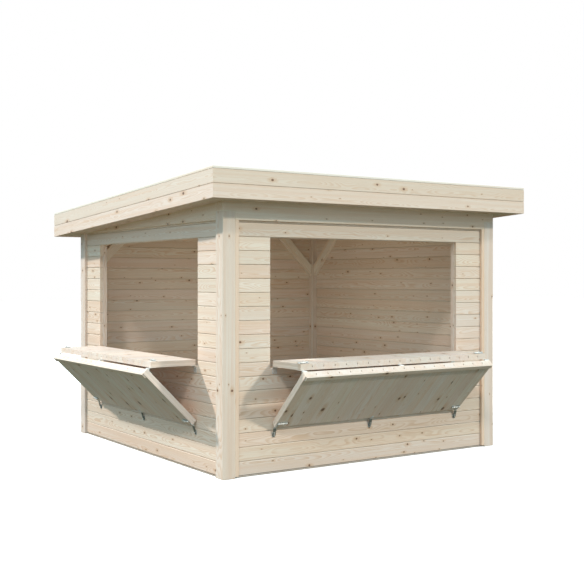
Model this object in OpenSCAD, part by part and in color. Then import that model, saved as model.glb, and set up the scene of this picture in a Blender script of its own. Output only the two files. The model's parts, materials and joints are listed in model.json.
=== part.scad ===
// Wooden market stall: square timber kiosk with a shallow mono-pitch roof and two service openings,
// each with a hinged counter and a folding flap that props the counter and, swung up, closes the opening.
// Every piece is drawn in a working frame whose origin is the outer corner of the front-left post:
// X runs along the front wall, Y runs back along the left wall, and Z is up from the ground.

/* [Overall] */
// Length of the front and back walls over the posts
stall_w = 3000; // [2500:10:4000]
// Length of the left and right walls over the posts
stall_l = 3000; // [2500:10:4000]
// Height of the underside of the beams above the ground
beam_z = 2082; // [2020:1:2500]

/* [Posts and walls] */
// Side of a square corner post
post_s = 115; // [95:1:150]
// How far the front posts reach up into the front beam
post_lap = 71; // [20:1:100]
// Thickness of the wall boards
board_t = 28; // [19:1:45]
// Set-back of the wall boards behind the post faces
recess = 23; // [15:1:40]
// Height of the bearers under the wall boards
bearer_h = 11; // [8:1:45]
// Width of a bearer
bearer_w = 45; // [30:1:70]
// Width of the batten beside each front post
batten_w = 36; // [20:1:60]

/* [Service openings] */
// Width of a service opening
opening_w = 2076; // [1400:1:2200]
// Height of the bottom of a service opening
opening_z = 866; // [700:1:1040]
// Height of the top of a service opening
opening_top = 1951; // [1850:1:2000]
// Width of the studs and rails that frame an opening
frame_w = 45; // [30:1:70]
// Depth of the studs and rails that frame an opening
frame_d = 47; // [30:1:70]

/* [Counter and flap] */
// Thickness of the counter and of the flap
panel_t = 50; // [38:1:60]
// Gap between a panel's end and the side of its opening
panel_gap = 18; // [8:1:30]
// Depth of the counter
counter_d = 408; // [330:1:490]
// Gap between the wall and the back edge of the counter
counter_gap = 12; // [11:1:20]
// Gap left above the flap when it closes the opening
flap_gap = 21; // [12:1:60]
// Gap between the folded flap's lower edge and the wall
flap_seat = 3; // [0.3:0.1:5]
// Width of the strip along the top of the flap
strip_w = 45; // [25:1:70]
// Thickness of the strip along the top of the flap
strip_t = 12; // [6:1:20]
// Set-in of the strip's ends from the ends of the flap
strip_inset = 8; // [0:1:40]

/* [Hinges] */
// Length of a hinge along its pin
hinge_w = 48; // [36:1:70]
// Distance from a hinge's pin to the face that carries its plates
hinge_drop = 10; // [10:0.5:14]
// Height of the sill hinges' pins above the bottom of the opening
sill_pin_h = 6; // [5:1:12]
// Distance from the counter's front edge to the pins of the fold hinges
fold_out = 20; // [18:1:26]
// How far the unfolded flap reaches back past the pins of the fold hinges
fold_lap = 12; // [8:1:12]
// Radius of a hinge knuckle
knuckle_r = 7; // [6:0.5:7]
// Radius of a hinge pin
pin_r = 3; // [2:0.5:4]
// Running clearance around a hinge pin
pin_clear = 0.1; // [0.05:0.05:0.3]
// Thickness of a hinge plate
plate_t = 2.5; // [2:0.5:4]
// Length of a hinge plate across the pin
plate_l = 45; // [30:1:60]

/* [Hasps and bolts] */
// Width of a hasp strap
hasp_w = 27; // [20:1:36]
// Length of a hasp strap
hasp_l = 84; // [60:1:120]
// Thickness of a hasp strap and of its catch
hasp_t = 2.5; // [2:0.5:4]
// Gap between a hasp strap and the sweep of its catch
hasp_gap = 3; // [2:0.5:6]
// Length of a slide bolt
bolt_l = 100; // [70:1:140]
// Width of a slide bolt's plate
bolt_w = 32; // [24:1:45]
// Radius of a slide bolt's rod
bolt_r = 5; // [4:0.5:7]
// Distance from a slide bolt's middle line to the panel's free edge
bolt_edge = 48; // [30:1:80]

/* [Braces] */
// Distance that a brace reaches along the beam from the post
brace_run = 440; // [300:1:600]
// Width of a brace
brace_w = 95; // [70:1:120]
// Thickness of a brace
brace_t = 45; // [35:1:60]

/* [Roof] */
// Depth of the back beam at its rear face
back_beam_h = 97; // [70:1:180]
// Fall of the roof from front to back
roof_fall = 3; // [1:0.5:6]
// Overhang at the front and the sides
overhang = 205; // [120:1:300]
// Overhang at the back
overhang_back = 225; // [120:1:300]
// Height of a fascia
fascia_h = 228; // [210:1:300]
// Thickness of a fascia
fascia_t = 20; // [16:1:28]
// Thickness of the roof boards
deck_t = 20; // [16:1:28]
// Depth of a rafter
rafter_h = 95; // [70:1:110]
// Width of a rafter
rafter_w = 45; // [35:1:60]
// Number of rafters between the side beams
inner_rafters = 3; // [1:1:5]
// Thickness of the boards that close the overhang from below
soffit_t = 14; // [10:1:20]
// Height of the soffit's underside above the fascia's bottom edge
soffit_lift = 8; // [2:1:20]
// Width of the strip on the roof's edge
edge_w = 45; // [30:1:70]
// Thickness of the strip on the roof's edge
edge_t = 18; // [12:1:25]

/* [Hidden] */
$fn = 48;
eps = 0.5;

// Colours
raw_pine = "#e3d4bd";
pale_pine = "#e8dccb";
shaded_pine = "#9b8f7a";
bearer_grey = "#a9a597";
zinc = "#c9ccd0";

// Walls, measured from the outer faces of the posts
wall_in = recess + board_t;
frame_in = wall_in + frame_d;
span_w = stall_w - 2 * post_s;
span_l = stall_l - 2 * post_s;
front_post_top = beam_z + post_lap;

// Hinge pins in a wall's own section: distance out from the board face, and height
sill_out = hinge_drop;
pin_z = opening_z + sill_pin_h;
counter_z = pin_z + hinge_drop;
counter_edge = counter_gap + counter_d;
fold_pin = counter_edge + fold_out;

// The flap is as long as the closed opening needs, and leans so that its lower edge meets the wall
flap_l = opening_top - flap_gap - (pin_z + fold_pin - fold_lap - sill_out);
lean_reach = norm([flap_l - fold_lap, hinge_drop]);
flap_lean = acos((fold_pin - flap_seat) / lean_reach) - atan2(hinge_drop, flap_l - fold_lap);
flap_swing = 180 - flap_lean;
flap_reach = fold_pin + fold_lap * cos(flap_lean) + (hinge_drop + panel_t + strip_t) * sin(flap_lean);

// Hasps: the strap stands clear of the circle that the flap's catch sweeps about the fold pin
catch_edge = 24;
catch_radius = norm([flap_l - fold_lap + hasp_t, hinge_drop + panel_t + hasp_t]);
hasp_top_z = pin_z - (flap_l - fold_lap) * sin(flap_lean) - (hinge_drop + panel_t) * cos(flap_lean);
hasp_radius = catch_radius + hasp_gap;
hasp_top = fold_pin - sqrt(hasp_radius * hasp_radius - (pin_z - hasp_top_z) * (pin_z - hasp_top_z));
staple_t = 2;
staple_w = 30;
staple_l = 42;
strap_clear = 0.3;
hasp_foot = staple_t + hasp_t + strap_clear;
hasp_tilt = asin((hasp_top - hasp_foot) / hasp_l);
slot_w = 11;
slot_l = 30;
slot_end = 8;
stud_r = 3;
stud_l = 15;
stud_rise = slot_end + slot_w;

// Hinge knuckles share the hinge's length in thirds, with a little play between them
knuckle_l = hinge_w / 3;
knuckle_play = 0.3;
web_t = 4;
web_lap = 8;
pin_start = 0.5;
sill_plate_start = 6;
counter_plate_start = counter_gap - sill_out;
flap_plate_start = 4;

// Slide bolts
bolt_plate_t = 2;
bolt_axis_h = 8;
keeper_l = 14;
keeper_end = 7;
bolt_inset = 6;
knob_h = 14;
knob_r = 4;

// Roof plane: the top of the fascias and of the roof boards falls towards the back, where the boards
// and the rafters lie on the back beam
fall = tan(roof_fall);
roof_seat = 0.1;
y_front = -overhang;
y_back = stall_l + overhang_back;
x_left = -overhang;
x_right = stall_w + overhang;
deck_under = -deck_t;
rafter_over = deck_under - roof_seat;
rafter_under = rafter_over - rafter_h;
beam_over = rafter_under - roof_seat;
fascia_under = -fascia_h;
function roof_z(y) = beam_z + back_beam_h - beam_over + (stall_l - y) * fall;

// Corners of the fascias in plan, counted from the front left, outside and inside
fascia_outer = [[x_left, y_front], [x_right, y_front], [x_right, y_back], [x_left, y_back]];
fascia_inner = [
  [x_left + fascia_t, y_front + fascia_t],
  [x_right - fascia_t, y_front + fascia_t],
  [x_right - fascia_t, y_back - fascia_t],
  [x_left + fascia_t, y_back - fascia_t]
];

// The stall's own origin is the middle of the ground under its outline
reach = flap_reach - recess;
mid_x = (x_right - reach) / 2;
mid_y = (y_back - reach) / 2;

module placed() {
  translate([-mid_x, -mid_y, 0])
    children();
}

// Turns a piece of the front wall into the same piece of the left wall
module as_left() {
  mirror([1, -1, 0])
    children();
}

// Slab that follows the roof's fall between two levels measured from the roof plane
module sloped(x, width, y0, y1, low, high) {
  translate([x, 0, 0])
    rotate([90, 0, 90])
      linear_extrude(height = width)
        polygon([
          [y0, roof_z(y0) + low],
          [y1, roof_z(y1) + low],
          [y1, roof_z(y1) + high],
          [y0, roof_z(y0) + high]
        ]);
}

// Beam with a level underside and a top that follows the rafters
module beam_body(x, width, y0, y1, bottom) {
  translate([x, 0, 0])
    rotate([90, 0, 90])
      linear_extrude(height = width)
        polygon([
          [y0, bottom],
          [y1, bottom],
          [y1, roof_z(y1) + beam_over],
          [y0, roof_z(y0) + beam_over]
        ]);
}

// One side of the fascia, mitred at both ends, from corner number "first" to the next
module fascia_side(first) {
  next = (first + 1) % 4;
  intersection() {
    sloped(x_left - eps, x_right - x_left + 2 * eps, y_front - eps, y_back + eps, fascia_under, 0);
    linear_extrude(height = roof_z(y_front) + edge_t)
      polygon([fascia_outer[first], fascia_outer[next], fascia_inner[next], fascia_inner[first]]);
  }
}

function opening_start(wall_l) = (wall_l - opening_w) / 2;
function panel_start(wall_l) = opening_start(wall_l) + panel_gap;
panel_l = opening_w - 2 * panel_gap;

// Ground and posts

module ground_bearers() {
  color(bearer_grey)
    placed() {
      for (y = [recess, stall_l - recess - bearer_w])
        translate([post_s, y, 0])
          cube([span_w, bearer_w, bearer_h]);
      for (x = [recess, stall_w - recess - bearer_w])
        translate([x, post_s, 0])
          cube([bearer_w, span_l, bearer_h]);
    }
}

module post(x, y, top) {
  translate([x, y, 0])
    cube([post_s, post_s, top]);
}

module front_posts() {
  color(pale_pine)
    placed()
      for (x = [0, stall_w - post_s])
        post(x, 0, front_post_top);
}

module back_posts() {
  color(pale_pine)
    placed()
      for (x = [0, stall_w - post_s])
        post(x, stall_l - post_s, beam_z);
}

// Walls

module wall_lower(wall_l) {
  translate([post_s, recess, bearer_h])
    cube([wall_l - 2 * post_s, board_t, opening_z - bearer_h]);
}

module wall_piers(wall_l) {
  pier_w = opening_start(wall_l) - post_s;
  for (x = [post_s, wall_l - post_s - pier_w])
    translate([x, recess, opening_z])
      cube([pier_w, board_t, opening_top - opening_z]);
}

module wall_lintel(wall_l) {
  translate([post_s, recess, opening_top])
    cube([wall_l - 2 * post_s, board_t, beam_z - opening_top]);
}

module front_wall_lower() {
  color(raw_pine) placed() wall_lower(stall_w);
}

module front_wall_piers() {
  color(raw_pine) placed() wall_piers(stall_w);
}

module front_wall_lintel() {
  color(raw_pine) placed() wall_lintel(stall_w);
}

module left_wall_lower() {
  color(raw_pine) placed() as_left() wall_lower(stall_l);
}

module left_wall_piers() {
  color(raw_pine) placed() as_left() wall_piers(stall_l);
}

module left_wall_lintel() {
  color(raw_pine) placed() as_left() wall_lintel(stall_l);
}

module right_wall() {
  color(raw_pine)
    placed()
      translate([stall_w - wall_in, post_s, bearer_h])
        cube([board_t, span_l, beam_z - bearer_h]);
}

module back_wall() {
  color(raw_pine)
    placed()
      translate([post_s, stall_l - wall_in, bearer_h])
        cube([span_w, board_t, beam_z - bearer_h]);
}

// Studs and rails behind the boards around each opening

module jambs(wall_l) {
  start = opening_start(wall_l);
  for (x = [start - frame_w, start + opening_w])
    translate([x, wall_in, bearer_h])
      cube([frame_w, frame_d, beam_z - bearer_h]);
}

module rails(wall_l) {
  for (z = [opening_z - frame_w, opening_top])
    translate([opening_start(wall_l), wall_in, z])
      cube([opening_w, frame_d, frame_w]);
}

module front_jambs() {
  color(pale_pine) placed() jambs(stall_w);
}

module front_rails() {
  color(pale_pine) placed() rails(stall_w);
}

module left_jambs() {
  color(pale_pine) placed() as_left() jambs(stall_l);
}

module left_rails() {
  color(pale_pine) placed() as_left() rails(stall_l);
}

module cover_battens() {
  color(pale_pine)
    placed()
      for (x = [post_s, stall_w - post_s - batten_w])
        translate([x, 0, bearer_h])
          cube([batten_w, recess, beam_z - bearer_h]);
}

// Beams and braces

module front_beam() {
  color(pale_pine)
    placed()
      difference() {
        beam_body(0, stall_w, 0, post_s, beam_z);
        for (x = [-eps, stall_w - post_s])
          translate([x, -eps, beam_z - eps])
            cube([post_s + eps, post_s + 2 * eps, post_lap + eps]);
      }
}

module back_beam() {
  color(pale_pine) placed() beam_body(0, stall_w, stall_l - post_s, stall_l, beam_z);
}

module side_beams() {
  color(pale_pine)
    placed()
      for (x = [0, stall_w - post_s])
        beam_body(x, post_s, post_s, stall_l - post_s, beam_z);
}

// A brace in the X-Z plane from a post on its left up to the beam
module brace() {
  rise = brace_w * sqrt(2);
  translate([0, brace_t, 0])
    rotate([90, 0, 0])
      linear_extrude(height = brace_t)
        polygon([
          [0, beam_z - brace_run],
          [brace_run, beam_z],
          [brace_run - rise, beam_z],
          [0, beam_z - brace_run + rise]
        ]);
}

module corner_braces() {
  back_y = stall_l - wall_in - brace_t;
  right_x = stall_w - wall_in;
  color(pale_pine)
    placed() {
      translate([post_s, back_y, 0])
        brace();
      translate([stall_w - post_s, back_y, 0])
        mirror([1, 0, 0])
          brace();
      translate([right_x, post_s, 0])
        rotate([0, 0, 90])
          brace();
      translate([right_x, stall_l - post_s, 0])
        rotate([0, 0, 90])
          mirror([1, 0, 0])
            brace();
    }
}

// Roof

module rafter(x) {
  sloped(x, rafter_w, y_front + fascia_t, y_back - fascia_t, rafter_under, rafter_over);
}

module rafters() {
  side_x = (post_s - rafter_w) / 2;
  pitch = (stall_w - post_s) / (inner_rafters + 1);
  color(raw_pine)
    placed() {
      for (i = [0 : inner_rafters + 1])
        rafter(side_x + i * pitch);
      rafter(x_left + fascia_t);
      rafter(x_right - fascia_t - rafter_w);
    }
}

module roof_deck() {
  color(raw_pine)
    placed()
      sloped(x_left + fascia_t, x_right - x_left - 2 * fascia_t,
             y_front + fascia_t, y_back - fascia_t, deck_under, 0);
}

soffit_low = fascia_under + soffit_lift;
soffit_high = soffit_low + soffit_t;

module end_soffits() {
  x0 = x_left + fascia_t;
  width = x_right - x_left - 2 * fascia_t;
  color(shaded_pine)
    placed() {
      sloped(x0, width, y_front + fascia_t, 0, soffit_low, soffit_high);
      sloped(x0, width, stall_l, y_back - fascia_t, soffit_low, soffit_high);
    }
}

module side_soffits() {
  width = overhang - fascia_t;
  color(shaded_pine)
    placed()
      for (x = [x_left + fascia_t, stall_w])
        sloped(x, width, 0, stall_l, soffit_low, soffit_high);
}

module front_fascia() {
  color(raw_pine) placed() fascia_side(0);
}

module back_fascia() {
  color(raw_pine) placed() fascia_side(2);
}

module side_fascias() {
  color(raw_pine)
    placed()
      for (first = [1, 3])
        fascia_side(first);
}

module roof_edge_strip() {
  color(pale_pine)
    placed()
      difference() {
        sloped(x_left, x_right - x_left, y_front, y_back, roof_seat, edge_t);
        sloped(x_left + edge_w, x_right - x_left - 2 * edge_w,
               y_front + edge_w, y_back - edge_w, -eps, edge_t + eps);
      }
}

// Counter and flap. Both are drawn for a wall along X, seen from outside, and turned for the left wall.

module at_sill_pin() {
  translate([0, recess - sill_out, pin_z])
    children();
}

module at_fold_pin() {
  translate([0, recess - fold_pin, pin_z])
    children();
}

// Drawn unfolded, level with the counter, then swung down and in to its leaning place
module folded() {
  at_fold_pin()
    rotate([flap_swing, 0, 0])
      children();
}

module counter(wall_l) {
  translate([panel_start(wall_l), recess - counter_edge, counter_z])
    cube([panel_l, counter_d, panel_t]);
}

module flap(wall_l) {
  folded() {
    translate([panel_start(wall_l), fold_lap - flap_l, hinge_drop])
      cube([panel_l, flap_l, panel_t]);
    translate([panel_start(wall_l) + strip_inset, fold_lap - strip_w, hinge_drop + panel_t - eps])
      cube([panel_l - 2 * strip_inset, strip_w, strip_t + eps]);
  }
}

module front_counter() {
  color(pale_pine) placed() counter(stall_w);
}

module front_flap() {
  color(pale_pine) placed() flap(stall_w);
}

module left_counter() {
  color(pale_pine) placed() as_left() counter(stall_l);
}

module left_flap() {
  color(pale_pine) placed() as_left() flap(stall_l);
}

// Hinges: the pin lies along X at the origin, and the plate lies on a face above it and runs towards -Y

module x_cylinder(start, length, radius) {
  translate([start, 0, 0])
    rotate([0, 90, 0])
      cylinder(r = radius, h = length);
}

module hinge_plate(start) {
  translate([0, -start - plate_l, hinge_drop - plate_t])
    cube([hinge_w, plate_l, plate_t]);
}

module hinge_web(x, length, start) {
  translate([x, -start - web_lap, hinge_drop - plate_t - web_t + eps])
    cube([length, start + web_lap, web_t]);
}

// Half with the middle knuckle, bored for the pin
module bored_half(start) {
  x = knuckle_l + knuckle_play;
  length = knuckle_l - 2 * knuckle_play;
  difference() {
    union() {
      hinge_plate(start);
      hinge_web(x, length, start);
      x_cylinder(x, length, knuckle_r);
    }
    x_cylinder(x - eps, length + 2 * eps, pin_r + pin_clear);
  }
}

// Half with the two outer knuckles and the pin
module pinned_half(start) {
  hinge_plate(start);
  for (x = [0, 2 * knuckle_l]) {
    hinge_web(x, knuckle_l, start);
    x_cylinder(x, knuckle_l, knuckle_r);
  }
  x_cylinder(pin_start, hinge_w - 2 * pin_start, pin_r);
}

// One hinge near each end of the panels and one in the middle
function hinge_xs(wall_l) = [
  panel_start(wall_l),
  (wall_l - hinge_w) / 2,
  panel_start(wall_l) + panel_l - hinge_w
];

module sill_hinges(wall_l) {
  for (x = hinge_xs(wall_l))
    at_sill_pin()
      translate([x, 0, 0])
        rotate([-90, 0, 0])
          mirror([0, 1, 0])
            bored_half(sill_plate_start);
}

module counter_hinges(wall_l) {
  for (x = hinge_xs(wall_l)) {
    at_sill_pin()
      translate([x, 0, 0])
        pinned_half(counter_plate_start);
    at_fold_pin()
      translate([x, 0, 0])
        mirror([0, 1, 0])
          bored_half(fold_out);
  }
}

module flap_hinges(wall_l) {
  for (x = hinge_xs(wall_l))
    folded()
      translate([x, 0, 0])
        pinned_half(flap_plate_start);
}

module front_sill_hinges() {
  color(zinc) placed() sill_hinges(stall_w);
}

module front_counter_hinges() {
  color(zinc) placed() counter_hinges(stall_w);
}

module front_flap_hinges() {
  color(zinc) placed() flap_hinges(stall_w);
}

module left_sill_hinges() {
  color(zinc) placed() as_left() sill_hinges(stall_l);
}

module left_counter_hinges() {
  color(zinc) placed() as_left() counter_hinges(stall_l);
}

module left_flap_hinges() {
  color(zinc) placed() as_left() flap_hinges(stall_l);
}

// Slide bolt lying on the plane Z = 0 with its rod along X
module slide_bolt() {
  translate([0, -bolt_w / 2, 0])
    cube([bolt_l, bolt_w, bolt_plate_t]);
  for (x = [keeper_end, bolt_l - keeper_end - keeper_l])
    translate([x, -bolt_r - bolt_plate_t, 0])
      cube([keeper_l, 2 * (bolt_r + bolt_plate_t), bolt_axis_h + bolt_r + bolt_plate_t]);
  translate([0, 0, bolt_axis_h])
    x_cylinder(0, bolt_l, bolt_r);
  translate([bolt_l / 2, 0, bolt_axis_h])
    cylinder(r = knob_r, h = knob_h);
}

function bolt_xs(wall_l) = [
  panel_start(wall_l) + bolt_inset,
  panel_start(wall_l) + panel_l - bolt_inset - bolt_l
];

module counter_bolts(wall_l) {
  for (x = bolt_xs(wall_l))
    translate([x, recess - counter_edge + bolt_edge, counter_z + panel_t])
      slide_bolt();
}

module flap_bolts(wall_l) {
  for (x = bolt_xs(wall_l))
    folded()
      translate([x, fold_lap - flap_l + bolt_edge, hinge_drop + panel_t])
        slide_bolt();
}

module front_counter_bolts() {
  color(zinc) placed() counter_bolts(stall_w);
}

module front_flap_bolts() {
  color(zinc) placed() flap_bolts(stall_w);
}

module left_counter_bolts() {
  color(zinc) placed() as_left() counter_bolts(stall_l);
}

module left_flap_bolts() {
  color(zinc) placed() as_left() flap_bolts(stall_l);
}

// Hasps: a strap stands on a staple on the wall and reaches up to a catch on the flap's lower edge

function hasp_xs(wall_l) = [
  panel_start(wall_l) + hasp_w / 2,
  wall_l / 2,
  panel_start(wall_l) + panel_l - hasp_w / 2
];

module hasp_strap() {
  translate([-hasp_w / 2, 0, -hasp_l])
    difference() {
      union() {
        translate([0, 0, hasp_w / 2])
          cube([hasp_w, hasp_t, hasp_l - hasp_w / 2]);
        translate([hasp_w / 2, hasp_t, hasp_w / 2])
          rotate([90, 0, 0])
            cylinder(r = hasp_w / 2, h = hasp_t);
      }
      translate([(hasp_w - slot_w) / 2, -eps, slot_end])
        cube([slot_w, hasp_t + 2 * eps, slot_l]);
    }
}

module staple() {
  foot_z = hasp_top_z - hasp_l * cos(hasp_tilt);
  translate([-staple_w / 2, recess - staple_t, foot_z - slot_end])
    cube([staple_w, staple_t, staple_l]);
  translate([0, recess, foot_z + stud_rise])
    rotate([90, 0, 0])
      cylinder(r = stud_r, h = stud_l);
}

module hasps(wall_l) {
  for (x = hasp_xs(wall_l))
    translate([x, 0, 0]) {
      translate([0, recess - hasp_top, hasp_top_z])
        rotate([hasp_tilt, 0, 0])
          hasp_strap();
      staple();
    }
}

// Bent plate over the flap's lower edge and the face that leans outwards
module catches(wall_l) {
  for (x = hasp_xs(wall_l))
    folded()
      translate([x - hasp_w / 2, fold_lap - flap_l - hasp_t, hinge_drop + panel_t - catch_edge]) {
        cube([hasp_w, hasp_t, catch_edge + hasp_t]);
        translate([0, 0, catch_edge])
          cube([hasp_w, catch_edge, hasp_t]);
      }
}

module front_hasps() {
  color(zinc) placed() hasps(stall_w);
}

module front_catches() {
  color(zinc) placed() catches(stall_w);
}

module left_hasps() {
  color(zinc) placed() as_left() hasps(stall_l);
}

module left_catches() {
  color(zinc) placed() as_left() catches(stall_l);
}

ground_bearers();
front_posts();
back_posts();
front_wall_lower();
front_wall_piers();
front_wall_lintel();
left_wall_lower();
left_wall_piers();
left_wall_lintel();
right_wall();
back_wall();
front_jambs();
front_rails();
left_jambs();
left_rails();
cover_battens();
front_beam();
back_beam();
side_beams();
corner_braces();
rafters();
roof_deck();
end_soffits();
side_soffits();
front_fascia();
back_fascia();
side_fascias();
roof_edge_strip();
front_counter();
front_flap();
left_counter();
left_flap();
front_sill_hinges();
front_counter_hinges();
front_flap_hinges();
left_sill_hinges();
left_counter_hinges();
left_flap_hinges();
front_counter_bolts();
front_flap_bolts();
left_counter_bolts();
left_flap_bolts();
front_hasps();
front_catches();
left_hasps();
left_catches();
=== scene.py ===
"""Looks of a wooden market stall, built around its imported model.

The file is laid out as an add-on: property groups hold the sizes and finishes, operators make the pieces
and the stage, and a panel lists them. Run as a script, it makes everything in order.
"""

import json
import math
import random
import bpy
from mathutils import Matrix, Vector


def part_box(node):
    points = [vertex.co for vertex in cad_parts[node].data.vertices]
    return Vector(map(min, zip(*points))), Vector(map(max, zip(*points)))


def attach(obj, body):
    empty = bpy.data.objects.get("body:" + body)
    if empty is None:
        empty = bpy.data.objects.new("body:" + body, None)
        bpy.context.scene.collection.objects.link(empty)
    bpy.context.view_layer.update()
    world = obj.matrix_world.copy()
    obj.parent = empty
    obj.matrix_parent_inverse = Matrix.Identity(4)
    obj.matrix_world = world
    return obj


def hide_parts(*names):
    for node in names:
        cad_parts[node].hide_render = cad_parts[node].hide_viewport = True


bl_info = {
    "name": "Wooden Market Stall",
    "version": (1, 0, 0),
    "blender": (4, 5, 0),
    "location": "3D View > Sidebar > Stall",
    "description": "Boards, timbers, fittings and stage of a wooden market stall",
    "category": "Object",
}

from collections import namedtuple

import bmesh
import bpy
from mathutils import Vector

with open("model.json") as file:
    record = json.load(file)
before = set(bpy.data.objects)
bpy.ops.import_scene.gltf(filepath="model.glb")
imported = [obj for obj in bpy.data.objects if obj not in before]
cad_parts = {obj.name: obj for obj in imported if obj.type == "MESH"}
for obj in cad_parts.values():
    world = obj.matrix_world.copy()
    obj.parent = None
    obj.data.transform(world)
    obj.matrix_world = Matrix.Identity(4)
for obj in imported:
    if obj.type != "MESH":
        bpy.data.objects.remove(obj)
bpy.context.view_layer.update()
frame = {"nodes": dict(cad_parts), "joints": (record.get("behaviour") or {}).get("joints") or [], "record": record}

X = Vector((1, 0, 0))
Y = Vector((0, 1, 0))
Z = Vector((0, 0, 1))
SEED = 7
TINY = 1e-6  # lengths that differ by less are the same
MERGE = 1e-5  # corners of a CAD mesh that lie closer are one corner
LEVEL = 1e-4  # corners of a CAD mesh whose heights differ by less lie in one face
SLOTS = {part["node"]: part["material_slot"] for part in frame["record"]["subparts"]}


# Sizes, finishes and stage


class StallBoards(bpy.types.PropertyGroup):
    """Sizes of the boards and timbers."""

    pitch: bpy.props.FloatProperty(
        name="Wall Board", description="Cover width of a wall board", default=0.114, unit="LENGTH"
    )
    gap: bpy.props.FloatProperty(
        name="Groove", description="Width of the slot between two wall boards", default=0.0045, unit="LENGTH"
    )
    chamfer: bpy.props.FloatProperty(
        name="Chamfer", description="Chamfer along a wall board's edges", default=0.003, unit="LENGTH"
    )
    slot: bpy.props.FloatProperty(
        name="Slot Depth", description="Depth of the slot between two boards", default=0.010, unit="LENGTH"
    )
    arris: bpy.props.FloatProperty(
        name="Arris", description="Chamfer along a timber's edges", default=0.0025, unit="LENGTH"
    )
    panel_boards: bpy.props.IntProperty(
        name="Panel Boards", description="Number of boards in a counter or a flap", default=18, min=2
    )
    panel_notch: bpy.props.FloatProperty(
        name="Panel Notch", description="Height of the groove in a panel board's edge", default=0.014,
        unit="LENGTH"
    )
    panel_groove: bpy.props.FloatProperty(
        name="Panel Groove", description="Depth of the groove in a panel board's edge", default=0.0045,
        unit="LENGTH"
    )
    fascia_rows: bpy.props.IntProperty(
        name="Fascia Boards", description="Number of boards up the height of a fascia", default=2, min=1
    )
    fascia_gap: bpy.props.FloatProperty(
        name="Fascia Gap", description="Gap between the boards of a fascia", default=0.004, unit="LENGTH"
    )
    strip_width: bpy.props.FloatProperty(
        name="Edge Strip", description="Width of the strip along the roof's edge", default=0.045, unit="LENGTH"
    )
    soffit: bpy.props.FloatProperty(
        name="Soffit", description="Thickness of the boards under the overhang", default=0.014, unit="LENGTH"
    )


class StallFinish(bpy.types.PropertyGroup):
    """Colours of the wood and the metal."""

    pale: bpy.props.FloatVectorProperty(
        name="Sapwood", description="Pale ground colour of planed pine", default=(0.845, 0.77, 0.68),
        subtype="COLOR"
    )
    warm: bpy.props.FloatVectorProperty(
        name="Heartwood", description="Pinkish tint of the warmer boards", default=(0.81, 0.63, 0.50),
        subtype="COLOR"
    )
    late: bpy.props.FloatVectorProperty(
        name="Latewood", description="Colour of the dark rings", default=(0.64, 0.40, 0.225), subtype="COLOR"
    )
    knot: bpy.props.FloatVectorProperty(
        name="Knot", description="Colour of a knot's heart", default=(0.20, 0.085, 0.04), subtype="COLOR"
    )
    zinc: bpy.props.FloatVectorProperty(
        name="Zinc", description="Colour of the plated fittings", default=(0.90, 0.89, 0.86), subtype="COLOR"
    )
    # Dark steel colour, also used to paint shade: on the straps it is painted shade, on the bolt plates the bolt
    # bar's painted shadow
    steel_and_shade: bpy.props.FloatVectorProperty(
        name="Dark Steel And Shade", description="Colour of the straps and bolt plates", default=(0.16, 0.17, 0.14),
        subtype="COLOR"
    )


class StallStage(bpy.types.PropertyGroup):
    """Camera, light and floor."""

    camera_place: bpy.props.FloatVectorProperty(
        name="Camera", description="Place of the camera", default=(-5.277, -8.222, 1.603), subtype="TRANSLATION"
    )
    camera_turn: bpy.props.FloatProperty(
        name="Camera Turn", description="Turn of the camera to the right of the Y axis",
        default=math.radians(33.754), subtype="ANGLE"
    )
    lens: bpy.props.FloatProperty(
        name="Lens", description="Focal length in millimetres on a 36 mm sensor", default=60.84
    )
    shift: bpy.props.FloatProperty(
        name="Vertical Shift", description="Vertical shift of the lens", default=-0.0216
    )
    front_light: bpy.props.FloatProperty(
        name="Front Light", description="Strength of the light on the front wall", default=1.35
    )
    front_from: bpy.props.FloatVectorProperty(
        name="Front Light From", description="Direction that the front light comes from",
        default=(0.67, -1.0, 0.69), subtype="DIRECTION"
    )
    side_light: bpy.props.FloatProperty(
        name="Side Light", description="Strength of the light on the left wall", default=2.7
    )
    side_from: bpy.props.FloatVectorProperty(
        name="Side Light From", description="Direction that the side light comes from",
        default=(-1.0, 0.9, 1.19), subtype="DIRECTION"
    )
    corner_light: bpy.props.FloatProperty(
        name="Corner Light", description="Strength of the weak light on both seen walls", default=0.85
    )
    corner_from: bpy.props.FloatVectorProperty(
        name="Corner Light From", description="Direction that the weak light comes from",
        default=(-0.77, -0.8, 1.0), subtype="DIRECTION"
    )
    room_light: bpy.props.FloatProperty(
        name="Room Light", description="Power of the soft light inside the stall", default=16.0
    )
    sky: bpy.props.FloatProperty(
        name="Fill Light", description="Strength of the light from all around", default=1.04
    )


# Boards: prisms with a profile, drawn along a length in any three directions

LOG_LENGTH = 60  # boards are cut at random places along one long log
PITH_ASIDE = 0.35  # farthest that the pith lies beside a board's middle, as a share of its width
PITH_DEPTH = (0.035, 0.11)  # distance of the pith from a board's outer face
BOARD_ARRIS = 0.001
PANEL_ARRIS = 0.0006
STRIP_ARRIS = 0.002
FLAP_STRIP = 0.045
SLOT_SHARE = 0.4  # deepest slot, as a share of a board's thickness
GROOVE_HEIGHT = 0.56  # middle of a panel board's groove, as a share of its thickness
OUTER_GROOVE = 0.3  # depth of the groove in a panel's outer edge, as a share of the others


def mesh_object(name, bm, material):
    """Turns a mesh in the making into an object in the scene."""
    bmesh.ops.recalc_face_normals(bm, faces=bm.faces)
    mesh = bpy.data.meshes.new(name)
    bm.to_mesh(mesh)
    bm.free()
    mesh.materials.append(material)
    made = bpy.data.objects.new(name, mesh)
    bpy.context.scene.collection.objects.link(made)
    return made


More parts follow.
